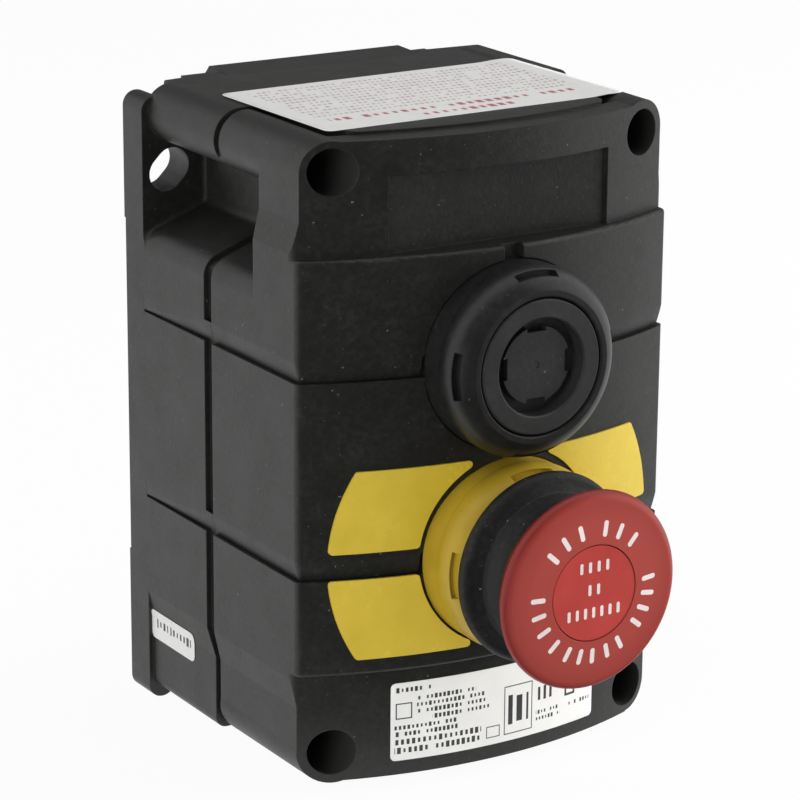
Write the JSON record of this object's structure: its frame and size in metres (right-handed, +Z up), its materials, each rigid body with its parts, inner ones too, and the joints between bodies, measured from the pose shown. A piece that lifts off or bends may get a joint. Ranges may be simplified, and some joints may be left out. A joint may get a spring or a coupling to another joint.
{
  "type": "pushbutton control station",
  "caption": "Wall-mounted moulded control station with a flush pushbutton above a pull-release emergency-stop mushroom on a yellow collar.",
  "frame": {"origin": "centre of the rear face that lies on the wall", "axes": "+Z up, +Y into the wall, so the front with its buttons faces -Y; +X to the right seen from the front"},
  "size_m": [0.086, 0.1089, 0.1328],
  "materials": {
    "housing_polyester": "black glass-filled polyester moulding, fine matt texture",
    "bezel_polyamide": "black satin polyamide",
    "yellow_polyamide": "signal yellow satin polyamide",
    "legend_laminate": "yellow engraving laminate",
    "red_polyamide": "signal red satin polyamide",
    "boot_rubber": "black silicone rubber, dull",
    "seal_rubber": "dark grey sealing rubber",
    "stainless_steel": "stainless steel",
    "zinc_steel": "zinc plated steel",
    "spring_steel": "spring steel wire",
    "brass": "turned brass",
    "contact_brass": "silver-tipped brass strip",
    "block_polyamide": "grey glass-filled polyamide",
    "white_acetal": "natural acetal"
  },
  "bodies": {
    "enclosure": {"rear_base": "housing_polyester", "front_cover": "housing_polyester", "cover_gasket": "seal_rubber", "cover_screws": "stainless_steel", "screw_washers": "seal_rubber", "threaded_inserts": "brass", "legend_plates": "legend_laminate", "pushbutton_bezel": "bezel_polyamide", "pushbutton_seal": "seal_rubber", "pushbutton_nut": "block_polyamide", "pushbutton_barrel": "bezel_polyamide", "pushbutton_return_spring": "spring_steel", "estop_bezel": "yellow_polyamide", "estop_seal": "seal_rubber", "estop_nut": "block_polyamide", "estop_barrel": "yellow_polyamide", "estop_latch_clip": "spring_steel", "estop_boot": "boot_rubber", "contact_carrier": "zinc_steel", "carrier_screws": "zinc_steel", "upper_contact_housing": "block_polyamide", "upper_contact_strips": "contact_brass", "upper_terminal_screws": "zinc_steel", "upper_contact_spring": "spring_steel", "lower_contact_housing": "block_polyamide", "lower_contact_strips": "contact_brass", "lower_terminal_screws": "zinc_steel", "lower_contact_spring": "spring_steel"},
    "pushbutton": {"pushbutton_cap": "bezel_polyamide", "pushbutton_stem": "white_acetal"},
    "estop_knob": {"estop_head": "red_polyamide", "estop_centre_disc": "red_polyamide", "estop_stem": "white_acetal"},
    "upper_contact": {"upper_contact_plunger": "white_acetal", "upper_contact_bridge": "contact_brass"},
    "lower_contact": {"lower_contact_plunger": "white_acetal", "lower_contact_bridge": "contact_brass"}
  },
  "joints": [
    {"name": "pushbutton_press", "type": "slide", "parent": "enclosure", "child": "pushbutton", "axis": [0, 1, 0], "range_m": [0, 0.004], "stiffness_N_per_m": 1000, "springref_m": -0.003, "deforming": ["pushbutton_return_spring"]},
    {"name": "estop_press", "type": "slide", "parent": "enclosure", "child": "estop_knob", "axis": [0, 1, 0], "range_m": [0, 0.0055], "deforming": ["estop_boot", "estop_latch_clip"]},
    {"name": "upper_contact_slide", "type": "slide", "parent": "enclosure", "child": "upper_contact", "axis": [0, 1, 0], "range_m": [0, 0.004], "deforming": ["upper_contact_spring"]},
    {"name": "lower_contact_slide", "type": "slide", "parent": "enclosure", "child": "lower_contact", "axis": [0, 1, 0], "range_m": [0, 0.0055], "deforming": ["lower_contact_spring"]}
  ],
  "couplings": [
    {"joint": "upper_contact_slide", "follows": "pushbutton_press", "ratio": 1},
    {"joint": "lower_contact_slide", "follows": "estop_press", "ratio": 1}
  ]
}
